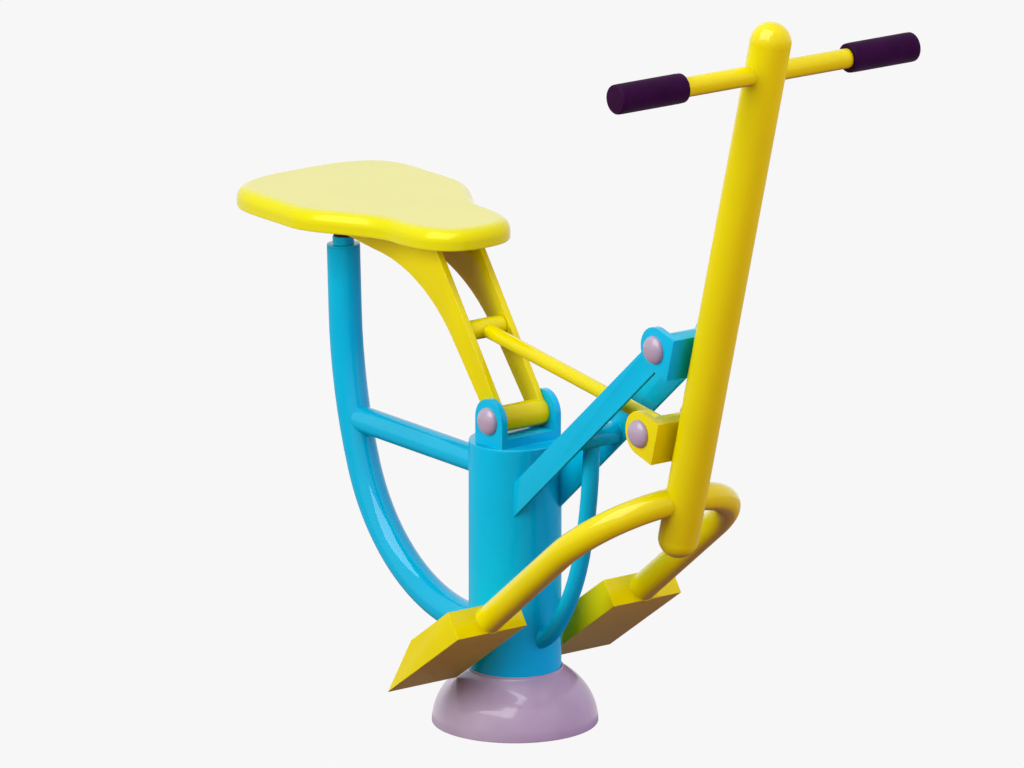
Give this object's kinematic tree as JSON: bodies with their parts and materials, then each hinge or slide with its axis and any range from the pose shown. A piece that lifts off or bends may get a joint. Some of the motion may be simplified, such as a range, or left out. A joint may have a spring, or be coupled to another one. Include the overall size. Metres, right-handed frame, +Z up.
{
  "type": "outdoor rider exercise machine",
  "caption": "Outdoor pull-and-push exercise machine: a seat on a swinging arm and a handle lever with foot pedals, joined by a push rod on a ground post.",
  "frame": {"origin": "on the main post's axis at ground level, centre of the anchor bolt circle, on the base flange's underside", "axes": "+X the way the rider faces, +Y to the rider's left, +Z up"},
  "size_m": [1.1971, 0.549, 1.1966],
  "materials": {
    "blue_paint": "gloss",
    "yellow_paint": "gloss",
    "mauve_plastic": "gloss",
    "seat_plastic": "gloss",
    "grip_rubber": "satin",
    "black_rubber": "matte",
    "bush_plastic": "matte",
    "steel": "satin"
  },
  "bodies": {
    "frame": {"base_flange": "blue_paint", "base_gussets": "blue_paint", "ground_cover": "mauve_plastic", "main_post": "blue_paint", "post_cap": "blue_paint", "post_clevis": "blue_paint", "frame_arm_left": "blue_paint", "frame_arm_right": "blue_paint", "arm_cross_tube": "blue_paint", "front_support_tube": "blue_paint", "rear_support_tube": "blue_paint", "rear_tube_cap": "blue_paint", "rear_brace": "blue_paint", "stop_stub": "blue_paint", "stop_buffer": "black_rubber", "upper_pivot_hub": "blue_paint", "upper_bearings": "steel", "seat_axle_bolt": "steel", "seat_axle_nut": "steel", "seat_axle_caps": "mauve_plastic"},
    "seat_arm": {"seat_hub": "yellow_paint", "seat_bearings": "steel", "seat_plate_left": "yellow_paint", "seat_plate_right": "yellow_paint", "seat_straps": "yellow_paint", "seat_screws": "steel", "seat": "seat_plastic", "link_pin": "steel"},
    "push_rod": {"push_rod": "yellow_paint", "rod_rear_sleeve": "yellow_paint", "link_bushes": "bush_plastic", "rod_front_hub": "yellow_paint", "rod_bearings": "steel"},
    "handle": {"handle_post": "yellow_paint", "post_top_dome": "yellow_paint", "post_bottom_dome": "yellow_paint", "upper_clevis": "blue_paint", "lower_clevis": "yellow_paint", "upper_axle_bolt": "steel", "upper_axle_nut": "steel", "upper_axle_caps": "mauve_plastic", "lower_axle_bolt": "steel", "lower_axle_nut": "steel", "lower_axle_caps": "mauve_plastic", "handlebar": "yellow_paint", "grip_left": "grip_rubber", "grip_right": "grip_rubber", "foot_bar_left": "yellow_paint", "foot_bar_right": "yellow_paint", "pedal_left": "yellow_paint", "pedal_right": "yellow_paint", "pedal_sides_left": "yellow_paint", "pedal_sides_right": "yellow_paint"}
  },
  "joints": [
    {"name": "handle_swing", "type": "hinge", "parent": "frame", "child": "handle", "pos_m": [0.4114, 0, 0.6741], "axis": [0, 1, 0], "range_deg": [0, 4.3]},
    {"name": "seat_swing", "type": "hinge", "parent": "frame", "child": "seat_arm", "pos_m": [0.0075, 0, 0.478], "axis": [0, 1, 0], "range_deg": [-5.8, 0]},
    {"name": "rod_swing", "type": "hinge", "parent": "handle", "child": "push_rod", "pos_m": [0.37533, 0, 0.53883], "axis": [0, 1, 0], "range_deg": [-5.9, 0]}
  ],
  "couplings": [
    {"joint": "seat_swing", "follows": "handle_swing", "ratio": -1.339},
    {"joint": "rod_swing", "follows": "handle_swing", "ratio": -1.356}
  ]
}
